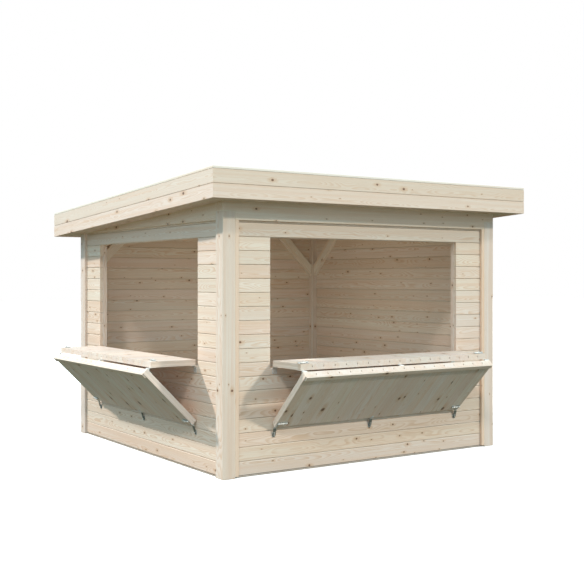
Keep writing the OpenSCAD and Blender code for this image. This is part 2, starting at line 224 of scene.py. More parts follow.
class Lumber:
    """A mesh in the making: boards are added to it, and it becomes one object."""

    def __init__(self, name):
        self.name = name
        self.bm = bmesh.new()
        self.grain = self.bm.verts.layers.float_vector.new("grain")
        self.board = self.bm.faces.layers.float_vector.new("board")
        self.random = random.Random(f"{SEED} {name}")

    def cut(self, width):
        """Where in the tree a new board is cut from: its tone and the offset of its grain."""
        draw = self.random
        offset = Vector((
            draw.uniform(0, LOG_LENGTH),
            draw.uniform(-PITH_ASIDE, PITH_ASIDE) * width - width / 2,
            draw.choice((-1, 1)) * draw.uniform(*PITH_DEPTH),
        ))
        return draw.random(), offset

    def prism(self, profile, start, end, origin, basis, cut, mitre=(0, 0, 0, 0)):
        """Draws profile, a list of (across, depth) points, from start to end along basis[0].
        mitre moves the two ends in by so much along the length for each metre across and deep."""
        along, across, deep = basis
        tone, offset = cut
        ends = []
        for place, m_across, m_deep in ((start, mitre[0], mitre[1]), (end, -mitre[2], -mitre[3])):
            ring = []
            for a, d in profile:
                length = place + m_across * a + m_deep * d
                vert = self.bm.verts.new(origin + along * length + across * a + deep * d)
                vert[self.grain] = Vector((length, a, d)) + offset
                ring.append(vert)
            ends.append(ring)
        first, last = ends
        count = len(profile)
        for i in range(count):
            j = (i + 1) % count
            face = self.bm.faces.new((first[i], first[j], last[j], last[i]))
            slanted = min(abs(profile[i][k] - profile[j][k]) for k in (0, 1)) > TINY
            face[self.board] = (tone, 0, 1 if slanted else 0)
        for ring in ends:
            face = self.bm.faces.new(ring)
            face[self.board] = (tone, 1, 0)

    def object(self, body, slot, material, replaced):
        """Turns the mesh into an object that rides a body and stands for CAD nodes."""
        made = mesh_object(self.name, self.bm, material)
        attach(made, body)
        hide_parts(*replaced)


# The joint between two boards: the width of its slot, the chamfers beside it and its depth
Joint = namedtuple("Joint", "gap chamfer slot")


def wall_joint(sizes):
    return Joint(sizes.gap, sizes.chamfer, sizes.slot)


def side_points(edge, inward, thickness, joint):
    """Profile points down one edge of a tongued board, from its outer face to its inner face."""
    if joint is None:
        near, arris = edge + inward * BOARD_ARRIS, BOARD_ARRIS
        return [(near, 0), (edge, arris), (edge, thickness - arris), (near, thickness)]
    near = edge + inward * joint.gap / 2
    face = near + inward * joint.chamfer
    slot = min(joint.slot, thickness * SLOT_SHARE)
    half = [(face, 0), (near, joint.chamfer), (near, slot), (edge, slot)]
    return half + [(across, thickness - depth) for across, depth in reversed(half)]


def board_profile(low, high, thickness, low_joint, high_joint):
    """Outline of a tongued board between two heights, with a chamfered slot at each jointed edge."""
    down = side_points(high, -1, thickness, high_joint)
    up = side_points(low, 1, thickness, low_joint)[::-1]
    return down + up


def panel_profile(width, thickness, sizes, outer=(False, False)):
    """Outline of a counter board: flush faces and a leaning groove in each edge, shallow on an outer edge."""
    small = PANEL_ARRIS
    half = sizes.panel_notch / 2
    lean = sizes.panel_notch / 4
    middle = thickness * GROOVE_HEIGHT
    first, last = (sizes.panel_groove * (OUTER_GROOVE if edge else 1) for edge in outer)
    return [
        (small, 0), (width - small, 0), (width, small), (width, middle - half),
        (width - last, middle - half + lean), (width - last, middle + half),
        (width, middle + half + lean), (width, thickness - small), (width - small, thickness),
        (small, thickness), (0, thickness - small), (0, middle + half),
        (first, middle + half - lean), (first, middle - half), (0, middle - half - lean), (0, small),
    ]


def plain_profile(width, thickness, arris):
    """Outline of a board with small chamfers along its four edges."""
    return [
        (arris, 0), (width - arris, 0), (width, arris), (width, thickness - arris),
        (width - arris, thickness), (arris, thickness), (0, thickness - arris), (0, arris),
    ]


# Walls


class Wall:
    """One side of the stall: the direction along it, the direction out of it, and its own boards' box."""

    def __init__(self, along, out, node):
        self.along = along
        self.out = out
        low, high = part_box(node)
        self.start, self.end = sorted((low.dot(along), high.dot(along)))
        faces = (low.dot(out), high.dot(out))
        self.face = max(faces)
        self.thickness = max(faces) - min(faces)
        self.low = low.z
        self.high = high.z

    def origin(self):
        return self.out * self.face

    def basis(self):
        """Along the wall, up it, and into it from the boards' outer face."""
        return self.along, Z, -self.out


WALLS = {
    "front": (X, -Y),
    "left": (Y, -X),
    "right": (Y, X),
    "back": (X, Y),
}


def board_rows(low, high, level, pitch):
    """Splits a height into board rows whose joints lie at level plus whole pitches."""
    row = math.floor((low - level) / pitch + TINY)
    rows = []
    while level + row * pitch < high - TINY:
        bottom = level + row * pitch
        rows.append((row, bottom, bottom + pitch))
        row += 1
    return rows


def lay_wall(lumber, wall, areas, level, sizes):
    """Lays boards over areas, each (start, end, low, high, key). Boards of one row and key share a cut."""
    joint = wall_joint(sizes)
    lowest = min(area[2] for area in areas)
    highest = max(area[3] for area in areas)
    cuts = {}
    for start, end, low, high, key in areas:
        for row, bottom, top in board_rows(low, high, level, sizes.pitch):
            split = bottom < low - TINY or top > high + TINY
            name = (row, "long" if split else key)
            if name not in cuts:
                cuts[name] = lumber.cut(sizes.pitch)
            z0 = max(bottom, low)
            z1 = min(top, high)
            low_joint = joint if z0 > lowest + TINY and z0 == bottom else None
            high_joint = joint if z1 < highest - TINY and z1 == top else None
            outline = board_profile(z0, z1, wall.thickness, low_joint, high_joint)
            profile = [(across - bottom, depth) for across, depth in outline]
            lumber.prism(profile, start, end, wall.origin() + Z * bottom, wall.basis(), cuts[name])


def opening_areas(side, wall):
    """The boarded areas of a wall with an opening: below, beside and over it."""
    rail_low, rail_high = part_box(f"{side}_rails")
    pier_low, pier_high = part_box(f"{side}_wall_piers")
    lintel_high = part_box(f"{side}_wall_lintel")[1].z
    gap_start, gap_end = rail_low.dot(wall.along), rail_high.dot(wall.along)
    bottom, top = pier_low.z, pier_high.z
    return [
        (wall.start, wall.end, wall.low, bottom, "low"),
        (wall.start, gap_start, bottom, top, "first"),
        (gap_end, wall.end, bottom, top, "second"),
        (wall.start, wall.end, top, lintel_high, "top"),
    ]


def joint_height():
    """The height of a joint between wall boards: the top of the service openings."""
    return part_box("front_wall_piers")[1].z


class STALL_OT_opening_walls(bpy.types.Operator):
    """Boards of the two walls that have a service opening"""

    bl_idname = "stall.opening_walls"
    bl_label = "Front and Left Walls"

    def execute(self, context):
        for side in ("front", "left"):
            wall = Wall(*WALLS[side], f"{side}_wall_lower")
            lumber = Lumber(f"{side}_wall_boards")
            lay_wall(lumber, wall, opening_areas(side, wall), joint_height(), context.scene.stall_boards)
            nodes = [f"{side}_wall_{part}" for part in ("lower", "piers", "lintel")]
            lumber.object("stall", SLOTS[nodes[0]], pine("Wall Boards"), nodes)
        return {"FINISHED"}


class STALL_OT_plain_walls(bpy.types.Operator):
    """Boards of the two walls without an opening"""

    bl_idname = "stall.plain_walls"
    bl_label = "Right and Back Walls"

    def execute(self, context):
        for side in ("right", "back"):
            node_name = f"{side}_wall"
            wall = Wall(*WALLS[side], node_name)
            lumber = Lumber(f"{side}_wall_boards")
            area = (wall.start, wall.end, wall.low, wall.high, "all")
            lay_wall(lumber, wall, [area], joint_height(), context.scene.stall_boards)
            lumber.object("stall", SLOTS[node_name], pine("Wall Boards"), [node_name])
        return {"FINISHED"}


# Timbers: the frame's own solids, with chamfered edges and grain along each one

FLAT = math.radians(1)
SHARP = math.radians(20)
STEEP = 0.9  # how upright the length of a post is


def islands(bm):
    """The separate solids of a mesh, as lists of vertices."""
    left = set(bm.verts)
    found = []
    for vert in bm.verts:
        if vert not in left:
            continue
        group = {vert}
        edge = [vert]
        while edge:
            for link in edge.pop().link_edges:
                for other in link.verts:
                    if other not in group:
                        group.add(other)
                        edge.append(other)
        left -= group
        found.append([v for v in bm.verts if v in group])
    return found


def longest_edge(verts):
    """Direction of the longest edge among these vertices' edges."""
    edges = dict.fromkeys(edge for vert in verts for edge in vert.link_edges)
    edge = max(edges, key=lambda e: round(e.calc_length(), 4))
    along = (edge.verts[1].co - edge.verts[0].co).normalized()
    return along if max(along, key=abs) > 0 else -along


def timber(node_name, sizes, material):
    """A copy of a CAD node's mesh with chamfered edges, and grain along each solid in it."""
    lumber = Lumber(node_name + "_timber")
    bm = lumber.bm
    bm.from_mesh(frame["nodes"][node_name].data)
    bmesh.ops.remove_doubles(bm, verts=bm.verts, dist=MERGE)
    bmesh.ops.dissolve_limit(bm, angle_limit=FLAT, verts=bm.verts, edges=bm.edges)
    grain = bm.verts.layers.float_vector["grain"]
    board = bm.faces.layers.float_vector["board"]
    solids = []
    for verts in islands(bm):
        middle = sum((v.co for v in verts), Vector()) / len(verts)
        along = longest_edge(verts)
        # A beam's broad face of grain is upright
        post = abs(along.z) > STEEP
        across = along.orthogonal().normalized() if post else along.cross(along.cross(Z)).normalized()
        width = 2 * max(abs((v.co - middle).dot(across)) for v in verts)
        tone, offset = lumber.cut(width)
        solids.append((middle, (along, across, along.cross(across)), tone, offset))
        for face in {f for v in verts for f in v.link_faces}:
            face[board] = (tone, 1 if abs(face.normal.dot(along)) > 0.5 else 0, 0)
    sharp = [e for e in bm.edges if e.is_manifold and e.calc_face_angle(0) > SHARP]
    made = bmesh.ops.bevel(
        bm, geom=sharp, offset=sizes.arris, offset_type="OFFSET", segments=1, affect="EDGES", clamp_overlap=True
    )
    chamfers = set(made["faces"])
    for verts in islands(bm):
        centre = sum((v.co for v in verts), Vector()) / len(verts)
        middle, basis, tone, offset = min(solids, key=lambda solid: (solid[0] - centre).length)
        for vert in verts:
            vert[grain] = Vector([(vert.co - middle).dot(way) for way in basis]) + offset
            for face in vert.link_faces:
                if face in chamfers:
                    face[board] = (tone, 0, 1)
    lumber.object("stall", SLOTS[node_name], material, [node_name])


TIMBERS = {
    "Frame Timber": ("front_posts", "back_posts", "front_jambs", "front_rails", "left_jambs", "left_rails"),
    # Beams and braces take paler finishes: painted light that brightens them where they lie in shade
    "Beams": ("front_beam", "back_beam", "side_beams"),
    "Braces": ("corner_braces",),
    "Cover Battens": ("cover_battens",),
    "Roof Boards": ("rafters",),
    "Bearers": ("ground_bearers",),
}


class STALL_OT_frame(bpy.types.Operator):
    """Posts, studs, rails, battens, beams, braces and bearers"""

    bl_idname = "stall.frame"
    bl_label = "Frame"

    def execute(self, context):
        sizes = context.scene.stall_boards
        for finish, nodes in TIMBERS.items():
            for node_name in nodes:
                timber(node_name, sizes, pine(finish))
        return {"FINISHED"}


# Roof


class Roof:
    """The sloping plane through the top of the fascias."""

    def __init__(self):
        front_low, front_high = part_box("front_fascia")
        back_low, back_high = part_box("back_fascia")
        self.thickness = front_high.y - front_low.y
        self.low = Vector((front_low.x, front_low.y, 0))
        self.high = Vector((front_high.x, back_high.y, 0))
        self.fall = (front_high.z - back_high.z) / (back_low.y - front_low.y)
        self.top = front_high.z
        self.height = self.top - front_low.z - self.fall * self.thickness
        self.back = Vector((0, 1, -self.fall))

    def at(self, x, y, under=0.0):
        """A point so far under the plane."""
        return Vector((x, y, self.top - (y - self.low.y) * self.fall - under))

    def edges(self, under=0.0):
        """The front, back, left and right edges: where each starts, its way, its length and the way in."""
        width = self.high.x - self.low.x
        depth = self.high.y - self.low.y
        return (
            (self.at(self.low.x, self.low.y, under), X, width, self.back),
            (self.at(self.low.x, self.high.y, under), X, width, -self.back),
            (self.at(self.low.x, self.low.y, under), self.back, depth, X),
            (self.at(self.high.x, self.low.y, under), self.back, depth, -X),
        )


def fascia_rows(lumber, edge, roof, sizes):
    """Boards one above another along one edge of the roof, mitred at both ends."""
    origin, along, length, deep = edge
    row_h = roof.height / sizes.fascia_rows
    joint = Joint(sizes.fascia_gap, sizes.fascia_gap / 4, roof.thickness * SLOT_SHARE)
    for row in range(sizes.fascia_rows):
        profile = board_profile(0, row_h, roof.thickness, joint if row > 0 else None, joint)
        lumber.prism(
            profile, 0, length, origin + Z * row * row_h, (along, Z, deep),
            lumber.cut(row_h), mitre=(0, 1, 0, 1)
        )


class STALL_OT_fascias(bpy.types.Operator):
    """Fascia boards round the roof and the strip on its edge"""

    bl_idname = "stall.fascias"
    bl_label = "Fascias"

    def execute(self, context):
        sizes = context.scene.stall_boards
        roof = Roof()
        front, back, left, right = roof.edges(roof.height)
        fascias = {"front_fascia": [front], "back_fascia": [back], "side_fascias": [left, right]}
        for node_name, edges in fascias.items():
            lumber = Lumber(node_name + "_boards")
            for edge in edges:
                fascia_rows(lumber, edge, roof, sizes)
            lumber.object("stall", SLOTS[node_name], pine("Fascia Boards"), [node_name])
        self.edge_strip(roof, sizes.strip_width)
        return {"FINISHED"}

    def edge_strip(self, roof, width):
        """Four mitred strips lying flat along the roof's edge."""
        profile = plain_profile(width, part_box("roof_edge_strip")[1].z - roof.top, STRIP_ARRIS)
        lumber = Lumber("roof_edge_strips")
        for origin, along, length, across in roof.edges():
            lumber.prism(profile, 0, length, origin, (along, across, Z), lumber.cut(width), mitre=(1, 0, 1, 0))
        lumber.object("stall", SLOTS["roof_edge_strip"], pine("Edge Strip"), ["roof_edge_strip"])


RIPPED = 0.05  # a last board narrower than this share of the pitch is left out


def lay_boards(lumber, origin, basis, length, width, thickness, pitch, sizes):
    """Lays boards side by side over a width, the last one ripped to what is left."""
    joint = wall_joint(sizes)
    count = max(1, math.ceil(width / pitch - RIPPED))
    for row in range(count):
        start = row * pitch
        end = min(width, start + pitch)
        low_joint = joint if row > 0 else None
        high_joint = joint if row < count - 1 else None
        outline = board_profile(start, end, thickness, low_joint, high_joint)
        profile = [(across - start, depth) for across, depth in outline]
        lumber.prism(profile, 0, length, origin + basis[1] * start, basis, lumber.cut(end - start))


class STALL_OT_roof(bpy.types.Operator):
    """Roof boards on the rafters and the boards that close the overhang from below"""

    bl_idname = "stall.roof"
    bl_label = "Roof"

    def execute(self, context):
        sizes = context.scene.stall_boards
        roof = Roof()
        self.deck(roof, sizes)
        self.soffits(roof, sizes)
        return {"FINISHED"}

    def deck(self, roof, sizes):
        low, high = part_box("roof_deck")
        lumber = Lumber("roof_deck_boards")
        lay_boards(
            lumber, roof.at(low.x, low.y), (X, roof.back, -Z), high.x - low.x, high.y - low.y,
            roof.thickness, sizes.pitch, sizes
        )
        lumber.object("stall", SLOTS["roof_deck"], pine("Roof Deck"), ["roof_deck"])

    def soffits(self, roof, sizes):
        """Two boards side by side under each overhang, laid along its fascia."""
        low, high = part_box("end_soffits")
        side_low, side_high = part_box("side_soffits")
        posts_low, posts_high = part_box("front_posts")
        back_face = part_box("back_posts")[1].y
        under = roof.top - (low.y - roof.low.y) * roof.fall - lowest_at("end_soffits", low.y)
        along_x, along_y = (X, roof.back, Z), (roof.back, X, Z)
        ends = [
            ((low.x, y0), along_x, high.x - low.x, y1 - y0)
            for y0, y1 in ((low.y, posts_low.y), (back_face, high.y))
        ]
        sides = [
            ((x0, side_low.y), along_y, side_high.y - side_low.y, x1 - x0)
            for x0, x1 in ((side_low.x, posts_low.x), (posts_high.x, side_high.x))
        ]
        for name, areas in (("end_soffit", ends), ("side_soffit", sides)):
            lumber = Lumber(name + "_boards")
            for place, basis, length, width in areas:
                lay_boards(lumber, roof.at(*place, under), basis, length, width, sizes.soffit, width / 2, sizes)
            lumber.object("stall", SLOTS[name + "s"], pine("Roof Boards"), [name + "s"])


def lowest_at(node_name, y):
    """Lowest height of a node's vertices at this y."""
    verts = frame["nodes"][node_name].data.vertices
    return min(v.co.z for v in verts if abs(v.co.y - y) < LEVEL)


# Counters and flaps


def extent(places):
    """Lowest and highest of many places in each direction."""
    return [min(column) for column in zip(*places)], [max(column) for column in zip(*places)]


class Panel:
    """The frame of a flap: its pin, its directions when folded, and its sizes read from the CAD mesh."""

    def __init__(self, side):
        self.along, self.out = WALLS[side]
        joint = next(j for j in frame["joints"] if j["child"] == f"{side}_flap")
        swing = math.radians(max(joint["range_deg"]))
        inward = -self.out
        self.pin = Vector(joint["pos_m"])
        self.pin -= self.along * self.pin.dot(self.along)
        self.reach = -(inward * math.cos(swing) + Z * math.sin(swing))
        self.rise = Z * math.cos(swing) - inward * math.sin(swing)
        points = [v.co for v in frame["nodes"][f"{side}_flap"].data.vertices]
        places = [
            (p.dot(self.along), (p - self.pin).dot(self.reach), (p - self.pin).dot(self.rise)) for p in points
        ]
        self.low, self.high = extent(places)
        self.strip_low, self.strip_high = extent([p for p in places if p[2] > self.high[2] - LEVEL])

    def basis(self):
        return self.along, self.reach, self.rise

    def point(self, a, b, c):
        return self.pin + self.along * a + self.reach * b + self.rise * c

    def face(self, counter):
        """How far the boards' outer face lies from the pin: the flap's boards are as thick as the counter's."""
        low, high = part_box(counter)
        return self.low[2] + high.z - low.z


def lay_panel(lumber, origin, basis, length, width, thickness, sizes):
    """The boards of a counter or a flap, side by side with flush faces."""
    board_w = width / sizes.panel_boards
    for n in range(sizes.panel_boards):
        profile = panel_profile(board_w, thickness, sizes, (n == 0, n == sizes.panel_boards - 1))
        lumber.prism(profile, 0, length, origin + basis[1] * n * board_w, basis, lumber.cut(board_w))


class STALL_OT_panels(bpy.types.Operator):
    """Counters and their folding flaps"""

    bl_idname = "stall.panels"
    bl_label = "Counters and Flaps"

    def execute(self, context):
        sizes = context.scene.stall_boards
        for side in ("front", "left"):
            thickness = self.counter(side, sizes)
            self.flap(side, thickness, sizes)
        return {"FINISHED"}

    def counter(self, side, sizes):
        along, out = WALLS[side]
        node_name = f"{side}_counter"
        low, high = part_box(node_name)
        start, end = low.dot(along), high.dot(along)
        back, front = sorted((low.dot(out), high.dot(out)))
        thickness = high.z - low.z
        origin = along * start + out * back + Z * low.z
        lumber = Lumber(node_name + "_boards")
        lay_panel(lumber, origin, (out, along, Z), front - back, end - start, thickness, sizes)
        lumber.object(node_name, SLOTS[node_name], pine("Counter Boards"), [node_name])
        return thickness

    def flap(self, side, thickness, sizes):
        """Boards as thick as the counter's, and a strip laid across them."""
        node_name = f"{side}_flap"
        panel = Panel(side)
        low, high = panel.low, panel.high
        lumber = Lumber(node_name + "_boards")
        lay_panel(
            lumber, panel.point(*low), (panel.reach, panel.along, panel.rise), high[1] - low[1],
            high[0] - low[0], thickness, sizes
        )
        start, end = panel.strip_low, panel.strip_high
        strip = plain_profile(end[1] - start[1], high[2] - low[2] - thickness, STRIP_ARRIS)
        origin = panel.point(start[0], start[1], low[2] + thickness)
        lumber.prism(strip, 0, end[0] - start[0], origin, panel.basis(), lumber.cut(FLAP_STRIP))
        lumber.object(node_name, SLOTS[node_name], pine("Counter Boards"), [node_name])


# Fittings

PLATE = 0.002
SOFT = 0.0005
# Corner of the bright plate on a strap's hinge end, which is a painted highlight
LIT_CAP_CORNER = 0.0015
STRAP_LENGTH = 0.06  # a hasp's strap is taller than this, and its staple's plate is lower
# How dark each piece is painted, from bright zinc at 0 to the dark colour at 1: on the strap this darkness is
# painted shade, and on the bolt's plate it is the bolt bar's painted shadow
DARK_AND_SHADE = {"bolt": 0.55, "keeper": 0.1, "screw": 0.25, "strap": 0.9, "staple": 0.35}


def arc(middle, radius, start, end, steps):
    """Points along an arc between two angles in degrees."""
    points = []
    for n in range(steps + 1):
        angle = math.radians(start + (end - start) * n / steps)
        points.append((middle[0] + radius * math.cos(angle), middle[1] + radius * math.sin(angle)))
    return points


def soft_levels(low, high):
    """Heights through a plate, each with how far its outline is drawn in there."""
    return (low, SOFT), (low + SOFT, 0), (high - SOFT, 0), (high, SOFT)


class Smithy:
    """A mesh of metal pieces in a frame (along, across, up) at a point. Each face says how dark it is painted,
    which on straps and bolt plates is painted shade.
    """

    def __init__(self, name):
        self.name = name
        self.bm = bmesh.new()
        self.dark = self.bm.faces.layers.float.new("dark")

    def stand(self, origin, basis):
        self.origin = origin
        self.basis = basis

    def vert(self, a, b, c):
        return self.bm.verts.new(self.origin + self.basis[0] * a + self.basis[1] * b + self.basis[2] * c)

    def loft(self, rings, dark=0.0):
        """Skins rings of points that all have the same count, and caps both ends."""
        rows = [[self.vert(*p) for p in ring] for ring in rings]
        faces = []
        for low, high in zip(rows, rows[1:]):
            for i in range(len(low)):
                j = (i + 1) % len(low)
                faces.append(self.bm.faces.new((low[i], low[j], high[j], high[i])))
        for row in (rows[0], rows[-1]):
            faces.append(self.bm.faces.new(row))
        for face in faces:
            face[self.dark] = dark
            face.smooth = len(rows[0]) > 8

    def plate(self, low, high, dark=0.0, corner=0.004):
        """A flat plate with rounded corners in its plane and softened edges."""
        x0, x1 = low[0] + corner, high[0] - corner
        y0, y1 = low[1] + corner, high[1] - corner
        rings = []
        for z, inset in soft_levels(low[2], high[2]):
            ring = []
            for n, middle in enumerate(((x1, y1), (x0, y1), (x0, y0), (x1, y0))):
                ring += [(x, y, z) for x, y in arc(middle, corner - inset, 90 * n, 90 * n + 90, 3)]
            rings.append(ring)
        self.loft(rings, dark)

    def slotted(self, outer, inner, centre, low, high, dark):
        """A flat plate between an outline and a hole of as many points, its outer edge softened."""
        rows = []
        for z, inset in soft_levels(low, high):
            row = []
            for point, hole in zip(outer, inner):
                edge = Vector(point) + (centre - Vector(point)).normalized() * inset
                row.append((self.vert(*edge, z), self.vert(*hole, z)))
            rows.append(row)
        for i in range(len(outer)):
            j = (i + 1) % len(outer)
            quads = []
            for below, above in zip(rows, rows[1:]):
                quads += [(below[i][k], below[j][k], above[j][k], above[i][k]) for k in (0, 1)]
            for row in (rows[0], rows[-1]):
                quads.append((row[i][0], row[j][0], row[j][1], row[i][1]))
            for quad in quads:
                self.bm.faces.new(quad)[self.dark] = dark

    def turned(self, start, axis, profile, dark=0.0, sides=20):
        """A turned piece: profile lists (place along the axis, radius)."""
        near, far = (axis + 1) % 3, (axis + 2) % 3
        rings = []
        for place, radius in profile:
            ring = []
            for u, v in arc((start[near], start[far]), radius, 0, 360, sides)[:-1]:
                point = [start[axis] + place] * 3
                point[near], point[far] = u, v
                ring.append(point)
            rings.append(ring)
        self.loft(rings, dark)

    def rod(self, start, axis, length, radius):
        """A rod with rounded ends."""
        soft = radius * 0.35
        end = [(0, radius - soft), (soft * 0.3, radius - soft * 0.3), (soft, radius)]
        self.turned(start, axis, end + [(length - place, size) for place, size in reversed(end)])

    def screw(self, place, radius):
        """A low domed screw head with a socket in its middle."""
        rise = 0.0009
        self.turned(
            place, 2,
            ((-rise, radius), (rise * 0.3, radius), (rise * 0.8, radius * 0.8), (rise, radius * 0.42),
             (-rise * 0.5, radius * 0.30)),
            DARK_AND_SHADE["screw"], 12,
        )

    def object(self, body, node_name, like=None):
        """Turns the mesh into an object that stands for a CAD node, or for none. The argument like is not used."""
        made = mesh_object(self.name, self.bm, zinc("Zinc Plate"))
        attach(made, body)
        if node_name:
            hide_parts(node_name)


def cad_pieces(node_name):
    """The separate solids of a CAD node, as lists of points."""
    bm = bmesh.new()
    bm.from_mesh(frame["nodes"][node_name].data)
    bmesh.ops.remove_doubles(bm, verts=bm.verts, dist=MERGE)
    pieces = [[v.co.copy() for v in group] for group in islands(bm)]
    bm.free()
    return pieces


def spans(points, origin, basis):
    """Lowest and highest places of points along the three directions of a frame."""
    return extent([[(p - origin).dot(way) for way in basis] for p in points])


def slide_bolt(smithy, low, high):
    """A slide bolt on a plate: low and high are its ends, edges, foot and top in the smithy's frame."""
    axis_h, rod_r = 0.008, 0.005
    keeper_l, keeper_end, keeper_r = 0.014, 0.007, 0.007
    screw_r, screw_end, screw_apart, screw_side = 0.0028, 0.0035, 0.018, 0.36
    centre, middle = (low[0] + high[0]) / 2, (low[1] + high[1]) / 2
    foot = low[2]
    axis = foot + axis_h
    # The plate is painted half dark: the bolt bar's painted shadow
    smithy.plate(low, (high[0], high[1], foot + PLATE), DARK_AND_SHADE["bolt"])
    smithy.rod((low[0], middle, axis), 0, high[0] - low[0], rod_r)
    arch = arc((middle, axis), keeper_r, 0, 180, 12)
    arch = [(middle + keeper_r, foot + PLATE / 2), *arch, (middle - keeper_r, foot + PLATE / 2)]
    for start in (low[0] + keeper_end, high[0] - keeper_end - keeper_l):
        smithy.loft([[(x, y, z) for y, z in arch] for x in (start, start + keeper_l)], DARK_AND_SHADE["keeper"])
    knob = ((0, 0.003), (0.008, 0.003), (0.0095, 0.004), (0.013, 0.004), (high[2] - axis, 0.0028))
    smithy.turned((centre, middle, axis), 2, knob)
    for x in (low[0] + screw_end, high[0] - screw_end, centre - screw_apart, centre + screw_apart):
        for side in (-1, 1):
            smithy.screw((x, middle + side * (high[1] - low[1]) * screw_side, foot + PLATE), screw_r)


FITTINGS = [
    f"{side}_{part}"
    for side in ("front", "left")
    for part in ("sill_hinges", "counter_hinges", "flap_hinges")
]


class STALL_OT_fittings(bpy.types.Operator):
    """Hinges, bolts, hasps and catches"""

    bl_idname = "stall.fittings"
    bl_label = "Fittings"

    def execute(self, context):
        for node_name in FITTINGS:
            self.round_over(frame["nodes"][node_name])
        for side in ("front", "left"):
            along, out = WALLS[side]
            panel = Panel(side)
            self.bolts(f"{side}_counter_bolts", f"{side}_counter", Vector(), (along, out, Z))
            self.bolts(f"{side}_flap_bolts", f"{side}_flap", panel.pin, panel.basis())
            self.hasps(side, along, out)
            self.catches(side, panel)
            self.brackets(side, panel)
        return {"FINISHED"}

    def round_over(self, piece):
        piece.data.materials.clear()
        piece.data.materials.append(zinc("Zinc Plate"))
        soften = piece.modifiers.new("Round Over", "BEVEL")
        soften.width = SOFT
        soften.segments = 2
        soften.limit_method = "ANGLE"
        soften.angle_limit = math.radians(40)

    def bolts(self, node_name, body, origin, basis):
        smithy = Smithy(node_name + "_made")
        smithy.stand(origin, basis)
        for points in cad_pieces(node_name):
            slide_bolt(smithy, *spans(points, origin, basis))
        smithy.object(body, node_name)

    def hasps(self, side, along, out):
        """Straps that stand on staples: each strap leans out from the wall."""
        node_name = f"{side}_hasps"
        smithy = Smithy(node_name + "_made")
        for points in cad_pieces(node_name):
            low, high = spans(points, Vector(), (along, out, Z))
            if high[2] - low[2] > STRAP_LENGTH:
                self.strap(smithy, points, along, out)
            else:
                self.staple(smithy, along, out, low, high)
        smithy.object("stall", node_name)

    def strap(self, smithy, points, along, out):
        """A strap painted dark as shade, with a long slot, and a bright zinc plate over its hinge end as a painted
        highlight.
        """
        hole_r, hole_l, end, lit_cap, steps = 0.0055, 0.030, 0.008, 0.014, 16
        edge = max(points, key=lambda p: (round(p.z, 4), p.dot(out)))
        foot = min(points, key=lambda p: (round(p.z, 4), -p.dot(out)))
        lean = edge - foot
        lean -= along * lean.dot(along)
        down = -lean.normalized()
        face = along.cross(down)
        basis = (along, down, face if face.dot(out) > 0 else -face)
        smithy.stand(Vector(), basis)
        low, high = spans(points, Vector(), basis)
        radius, middle = (high[0] - low[0]) / 2, (low[0] + high[0]) / 2
        tip = high[1] - end
        outer = arc((middle, high[1] - radius), radius, 0, 180, steps)
        outer += [(low[0] + 2 * radius * n / steps, low[1] + lit_cap) for n in range(steps + 1)]
        inner = arc((middle, tip - hole_r), hole_r, 0, 180, steps)
        inner += arc((middle, tip - hole_l + hole_r), hole_r, 180, 360, steps)
        centre = Vector((middle, (low[1] + high[1]) / 2))
        # The strap is painted dark as shade, and the bright plate over its hinge end is a painted highlight
        smithy.slotted(outer, inner, centre, low[2], high[2], DARK_AND_SHADE["strap"])
        smithy.plate(low, (high[0], low[1] + lit_cap, high[2]), corner=LIT_CAP_CORNER)

    def staple(self, smithy, along, out, low, high):
        """A screwed plate with a headed stud."""
        stud_r, stud_z, corner = 0.003, 0.019, 0.006
        screw_r, screw_in, screw_side = 0.0026, 0.0045, 0.0105
        smithy.stand(Vector(), (along, Z, out))
        smithy.plate((low[0], low[2], low[1]), (high[0], high[2], low[1] + PLATE), DARK_AND_SHADE["staple"], corner)
        middle = (low[0] + high[0]) / 2
        stud = (
            (PLATE / 2, stud_r), (0.0085, stud_r), (0.0095, 0.0045), (0.0125, 0.0048), (high[1] - low[1], 0.003)
        )
        smithy.turned((middle, low[2] + stud_z, low[1]), 2, stud)
        for z in (low[2] + screw_in, high[2] - screw_in):
            for side in (-1, 1):
                smithy.screw((middle + side * screw_side, z, low[1] + PLATE), screw_r)

    def catches(self, side, panel):
        """Bent plates over the flap's lower edge."""
        thick, bend, bend_steps = 0.0025, 0.0022, 6
        screw_r, screw_in, screw_side = 0.0028, 0.007, 0.008
        node_name = f"{side}_catches"
        smithy = Smithy(node_name + "_made")
        smithy.stand(panel.pin, panel.basis())
        for points in cad_pieces(node_name):
            low, high = spans(points, panel.pin, panel.basis())
            # The bend's profile, drawn over the plate's width
            way = 1 if high[1] > -low[1] else -1
            face, back = (high[1], low[1]) if way > 0 else (low[1], high[1])
            inner, top = face - way * thick, high[2]
            curve = arc((-bend, top - bend), bend, 0, 90, bend_steps)
            profile = [(face, low[2]), *((face + way * y, z) for y, z in curve)]
            profile += [(back, top), (back, top - thick), (inner, top - thick), (inner, low[2])]
            smithy.loft([[(x, y, z) for y, z in profile] for x in (low[0], high[0])])
            middle = (low[0] + high[0]) / 2
            for across in (-1, 1):
                smithy.screw((middle + across * screw_side, back + way * screw_in, top), screw_r)
        smithy.object(f"{side}_flap", node_name)

    def brackets(self, side, panel):
        """A small angle bracket on the flap's face at each end of its strip."""
        leg, wide, corner, apart = 0.034, 0.006, 0.002, 0.001
        smithy = Smithy(f"{side}_flap_brackets")
        smithy.stand(panel.pin, panel.basis())
        face = panel.face(f"{side}_counter")
        reach = panel.strip_high[1] - 0.004
        foot = reach + 0.005
        for edge, way in ((panel.strip_low[0], -1), (panel.strip_high[0], 1)):
            near = edge + way * apart
            low, high = sorted((near, near + way * wide))
            smithy.plate((low, reach - leg, face), (high, reach, face + PLATE), corner=corner)
            low, high = sorted((near, edge - way * leg))
            smithy.plate((low, foot, face), (high, foot + wide, face + PLATE), corner=corner)
        smithy.object(f"{side}_flap", None, f"{side}_flap_bolts")


# Materials


